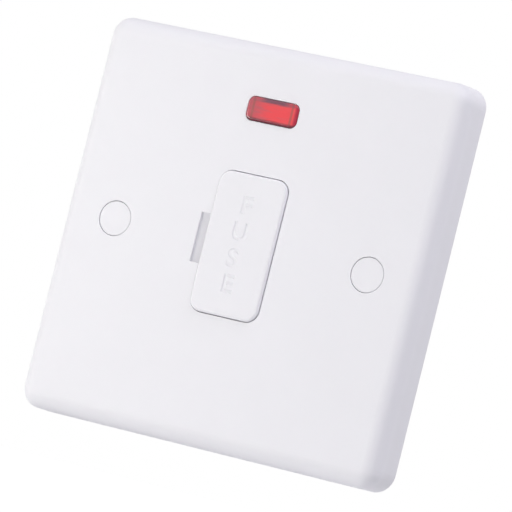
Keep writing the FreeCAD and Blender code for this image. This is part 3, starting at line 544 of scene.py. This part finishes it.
resistor = {
    "body": (0.72, 0.56, 0.34),
    "roughness": 0.35,
    "cloud": (0.9, 4.0),
    "cloudTint": 0.88,
    "gloss": (0.7, 3.0),
    "sheen": (-0.09, 0.1),
    "grain": (0.35, 2.0, 0.01, 0.5),
    # each ring's middle, in mm down from the top end, and its color
    "rings": ((0.5, (0.55, 0.05, 0.03)), (1.3, (0.62, 0.05, 0.04)),
              (1.95, (0.85, 0.62, 0.05)), (3.6, (0.58, 0.42, 0.12))),
    "ringHalf": 0.2,
    "ringBlur": 0.06,
    "wobble": (0.5, 3.0),
    "wobbleBy": 0.12,              # mm
}


def bandedResistor(name, r):
    # lacquered body with painted rings, at distances down from its top end that wobble with a noise
    f = Finish(name, r["body"], r["roughness"])
    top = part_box("neon_resistor")[1].z / mm
    wobble = f.math("MULTIPLY", f.noise(*r["wobble"]), r["wobbleBy"])
    down = f.math("ADD", f.math("SUBTRACT", top, f.axis("Z")), wobble)
    color = f.fade(f.noise(*r["cloud"]), tint(r["body"], r["cloudTint"]), r["body"])
    for place, paint in r["rings"]:
        away = f.math("ABSOLUTE", f.math("SUBTRACT", down, place))
        color = f.mix(f.spread(away, 1.0, 0.0, r["ringHalf"], r["ringHalf"] + r["ringBlur"]), color, paint)
    f.feed("Base Color", color)
    f.roughen(f.noise(*r["gloss"]), r["roughness"], *r["sheen"])
    f.relief(*r["grain"])
    return f.material


finishes = {
    "white_moulding": whiteMoulding("whiteMoulding", moulding),
    "housing_moulding": housingMoulding("housingMoulding", innerMoulding),
    "fuse_ceramic": firedCeramic("firedCeramic", ceramic),
    "silvered_wire": platedMetal("silveredWire", *metals["silver"]),
    "nickel_plate": platedMetal("nickelCap", *metals["nickel"]),
    "clip_bronze": cutMetal("rolledBronze", *metals["bronze"], cutting["rolled"]),
    "terminal_brass": cutMetal("sawnBrass", *metals["brass"], cutting["sawn"]),
    "screw_brass": turnedMetal("turnedBrass", *metals["screwBrass"], fromClampScrew),
    "screw_steel": turnedMetal("zincSteel", *metals["screwSteel"], fromHousingScrew),
    "lens_red": redLens("redLens", lens),
    "lamp_glass": lampGlass("lampGlass", lamp),
    "tinned_wire": platedMetal("tinnedWire", *metals["tin"]),
    "resistor_body": bandedResistor("bandedResistor", resistor),
}


def dressNode(name, finish):
    # the finish goes on the whole node
    obj = nodes[name]
    if not obj.material_slots:
        obj.data.materials.append(finish)
    for place in obj.material_slots:
        place.material = finish


for entry in frame["record"]["subparts"]:
    dressNode(entry["node"], finishes[entry["material_slot"]])
print("materials on every node")


# Lettering

weldDistance = 2e-6        # m between corners of a CAD node that are one corner
cutterWeld = 1e-7          # m, the same for a letter
softAngle = 36             # degrees between faces that are still shaded as one round surface
flatCosine = 0.99999       # a face that turns by less than this lies in the engraved plane


def drawWord(word, size, c):
    # letters as a flat curve in mm, given a thickness and a bevel as wide as the slope, made a mesh
    curve = bpy.data.curves.new("wordCurve", "FONT")
    curve.body = word
    curve.size = size
    curve.align_x, curve.align_y = "CENTER", "CENTER"
    curve.extrude = c["cutterHalf"]
    curve.bevel_depth = c["slope"]
    curve.bevel_resolution = c["slopeSteps"]
    curve.offset = c["heavier"]
    curve.resolution_u = c["curveSteps"]
    shaper = addObject("wordShaper", curve)
    bpy.context.view_layer.update()
    mesh = bpy.data.meshes.new_from_object(shaper.evaluated_get(bpy.context.evaluated_depsgraph_get()))
    bpy.data.objects.remove(shaper)
    return mesh


def weld(mesh, distance, turnOut=False):
    # corners closer than the distance become one, and the faces are turned outwards if asked
    work = bmesh.new()
    work.from_mesh(mesh)
    bmesh.ops.remove_doubles(work, verts=work.verts, dist=distance)
    if turnOut:
        bmesh.ops.recalc_face_normals(work, faces=work.faces)
    work.to_mesh(mesh)
    work.free()
    return mesh


def mergedCopy(node):
    # the node's triangles joined at their corners, without the directions that its loose corners had
    mesh = weld(nodes[node].data.copy(), weldDistance)
    if "custom_normal" in mesh.attributes:
        mesh.attributes.remove(mesh.attributes["custom_normal"])
    return mesh


def wordCutter(word, x, z, size, wide, face, inwards, c):
    # a word as an object that cuts. A point's height above the deepest ones, as a share of the slope,
    # leaves 1 - share to go down: depth times that to the power of the lip, and evenly on past the face
    mesh = drawWord(word, size, c)
    points = np.empty(len(mesh.vertices) * 3)
    mesh.vertices.foreach_get("co", points)
    across, up, height = points.reshape(-1, 3).T
    left = 1.0 - (height - height.min()) / c["slope"]
    down = c["depth"] * (np.maximum(left, 0.0) ** c["lip"] + np.minimum(left, 0.0))
    spots = np.column_stack([x + across * wide * inwards, down * inwards, z + up]) * mm
    spots[:, 1] += face
    mesh.vertices.foreach_set("co", spots.ravel())
    mesh.update()
    return addObject("wordCutter", weld(mesh, cutterWeld, turnOut=True))


def shadeEvenly(mesh, outwards):
    # smooth up to the soft angle, and every corner on the engraved plane takes the plane's own
    # direction, if its face leans from the plane by less than that angle
    mesh.polygons.foreach_set("use_smooth", np.ones(len(mesh.polygons), dtype=bool))
    mesh.set_sharp_from_angle(angle=math.radians(softAngle))
    directions, faces = np.empty(len(mesh.loops) * 3), np.empty(len(mesh.polygons) * 3)
    mesh.corner_normals.foreach_get("vector", directions)
    mesh.polygons.foreach_get("normal", faces)
    sides, spots = np.empty(len(mesh.polygons), dtype=int), np.empty(len(mesh.loops), dtype=int)
    mesh.polygons.foreach_get("loop_total", sides)
    mesh.loops.foreach_get("vertex_index", spots)
    directions = directions.reshape(-1, 3)
    cosine = np.repeat(faces.reshape(-1, 3)[:, 1] * outwards, sides)
    onPlane = np.zeros(len(mesh.vertices), dtype=bool)
    onPlane[spots[cosine > flatCosine]] = True
    directions[onPlane[spots] & (cosine > math.cos(math.radians(softAngle)))] = (0, outwards, 0)
    mesh.normals_split_custom_set(directions)


def newPiece(name, mesh, body, slotName):
    # an object at the origin, with one finish, on its body and in its slot
    mesh.name = name
    mesh.materials.clear()
    mesh.materials.append(finishes[slotName])
    obj = addObject(name, mesh)
    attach(obj, body)
    return obj


def engrave(node, name, body, slotName, c, atBack=False):
    # the words, each with its place, size and width, cut into a copy of a node's front or back face
    low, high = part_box(node)
    face, inwards = (high.y, -1) if atBack else (low.y, 1)
    copy = addObject(name, mergedCopy(node))
    cutters = [wordCutter(*word, face, inwards, c) for word in c["words"]]
    for cutter in cutters:
        cut = copy.modifiers.new("cut", "BOOLEAN")
        cut.operation, cut.solver, cut.object = "DIFFERENCE", "EXACT", cutter
    bpy.context.view_layer.update()
    mesh = bpy.data.meshes.new_from_object(copy.evaluated_get(bpy.context.evaluated_depsgraph_get()))
    for obj in cutters + [copy]:
        bpy.data.objects.remove(obj)
    shadeEvenly(mesh, -inwards)
    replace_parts(newPiece(name, mesh, body, slotName), node)


letters = {
    "depth": 0.22,         # mm
    "slope": 0.3,          # mm that a stroke's side takes to go down
    "slopeSteps": 1,
    "lip": 4.0,            # 1 is steepest at the face, more is softer there
    "heavier": -0.08,      # mm that the strokes are widened by
    "curveSteps": 5,
    "cutterHalf": 0.3,     # mm, half the thickness of the letters that cut
    # letter, mm across, mm up, size so that the capitals stand 4 mm high, width
    "words": (("F", -0.22, 8.35, 5.4, 1.12), ("U", -0.3, 2.75, 5.4, 1.0),
              ("S", -0.5, -2.95, 5.4, 1.12), ("E", -0.25, -8.4, 5.4, 1.05)),
}
engrave("fuse_carrier", "carrier_engraved", "carrier", "white_moulding", letters)
print("letters cut into the carrier")


marks = {
    "depth": 0.2,
    "slope": 0.08,
    "slopeSteps": 1,
    "lip": 4.0,
    "heavier": 0.0,
    "curveSteps": 5,
    "cutterHalf": 0.3,
    "letterIn": 5.8,       # mm from the clamp screws towards the middle
    "letterSize": 3.6,
    "wordIn": 10.4,
    "wordSize": 3.2,
    "wide": 1.0,
}


def backWords(c):
    # each row has its terminals' letters inwards of the screws, and which side of the fuse it is on
    terminals = [(letter, place * clampPitch, side * (clampRow - c["letterIn"]), c["letterSize"], c["wide"])
                 for side in (1, -1) for place, letter in ((-1, "E"), (0, "L"), (1, "N"))]
    rows = [(word, 0.0, side * (clampRow - c["wordIn"]), c["wordSize"], c["wide"])
            for side, word in ((1, "SUPPLY"), (-1, "LOAD"))]
    return terminals + rows


marks["words"] = backWords(marks)
engrave("rear_housing", "housing_marked", "unit", "housing_moulding", marks, atBack=True)
print("marks cut into the back")


# Floor, world and lamps

studio = {
    "floorUp": -0.085,             # m
    "floorHalf": 3.0,              # m
    "floorColor": (0.87, 0.87, 0.87),
    "floorTint": 0.985,
    "floorCloud": (60.0, 2.0),
    "floorRoughness": 0.8,
    "floorSpecular": 0.1,
    "floorGlow": 0.63,
    "worldLight": 0.436,
    "worldColor": (0.995, 0.986, 1.046),
    "lamps": (
        # name, azimuth, elevation, distance m, width m, power W, color
        ("keyLamp", -38.0, -4.0, 0.60, 0.22, 2.02, (1.0, 1.0, 0.93)),
        ("fillLamp", 69.0, 57.5, 0.50, 0.25, 1.0, (0.995, 0.986, 1.046)),
    ),
}


def seenRay(tree):
    # 1 for rays from the camera, from reflections and through glass, 0 for light
    path = tree.nodes.new("ShaderNodeLightPath")
    seen = path.outputs["Is Camera Ray"]
    for name in ("Is Glossy Ray", "Is Transmission Ray"):
        larger = tree.nodes.new("ShaderNodeMath")
        larger.operation = "MAXIMUM"
        tree.links.new(seen, larger.inputs[0])
        tree.links.new(path.outputs[name], larger.inputs[1])
        seen = larger.outputs[0]
    return seen


def backdrop(tree, color, strength):
    # one background of an even color
    node = tree.nodes.new("ShaderNodeBackground")
    node.inputs["Color"].default_value = (*color, 1.0)
    node.inputs["Strength"].default_value = strength
    return node.outputs[0]


def whiteWorld(s):
    # soft light from all round, and plain white for the rays that see it
    world = bpy.data.worlds.new("studioWorld")
    bpy.context.scene.world = world
    world.use_nodes = True
    tree = world.node_tree
    tree.nodes.clear()
    out = tree.nodes.new("ShaderNodeOutputWorld")
    mix = tree.nodes.new("ShaderNodeMixShader")
    tree.links.new(seenRay(tree), mix.inputs[0])
    tree.links.new(backdrop(tree, s["worldColor"], s["worldLight"]), mix.inputs[1])
    tree.links.new(backdrop(tree, white, 1.0), mix.inputs[2])
    tree.links.new(mix.outputs[0], out.inputs["Surface"])


def floorFinish(s):
    # pale grey-white with a very faint unevenness. The glow that makes it white is only for rays that
    # see it, and the shadow stays in the lit part
    pale = s["floorColor"]
    f = Finish("studioFloor", pale, s["floorRoughness"], specular=s["floorSpecular"])
    f.feed("Base Color", f.fade(f.noise(*s["floorCloud"]), tint(pale, s["floorTint"]), pale))
    glow = f.node("ShaderNodeEmission")
    glow.inputs["Color"].default_value = (*white, 1.0)
    f.link(f.math("MULTIPLY", seenRay(f.tree), s["floorGlow"]), glow.inputs["Strength"])
    both = f.node("ShaderNodeAddShader")
    f.link(f.shader.outputs["BSDF"], both.inputs[0])
    f.link(glow.outputs["Emission"], both.inputs[1])
    f.link(both.outputs["Shader"], f.out.inputs["Surface"])
    return f.material


def paleFloor(s):
    # one flat square face
    half, up = s["floorHalf"], s["floorUp"]
    corners = [(-half, -half, up), (half, -half, up), (half, half, up), (-half, half, up)]
    mesh = bpy.data.meshes.new("studioFloor")
    mesh.from_pydata(corners, [], [(0, 1, 2, 3)])
    mesh.materials.append(floorFinish(s))
    addObject("studioFloor", mesh)


def softLamps(s):
    # round lamps that face the middle of the wall plane
    for name, azimuth, elevation, distance, width, power, color in s["lamps"]:
        back = unitTowards(azimuth, elevation)
        data = bpy.data.lights.new(name, "AREA")
        data.shape = "DISK"
        data.size = width
        data.energy = power
        data.color = color
        obj = addObject(name, data)
        obj.location = back * distance
        obj.rotation_mode = "QUATERNION"
        obj.rotation_quaternion = (-back).to_track_quat("-Z", "Y")


whiteWorld(studio)
paleFloor(studio)
softLamps(studio)
bpy.context.scene.view_settings.view_transform = "Standard"
print("studio ready")
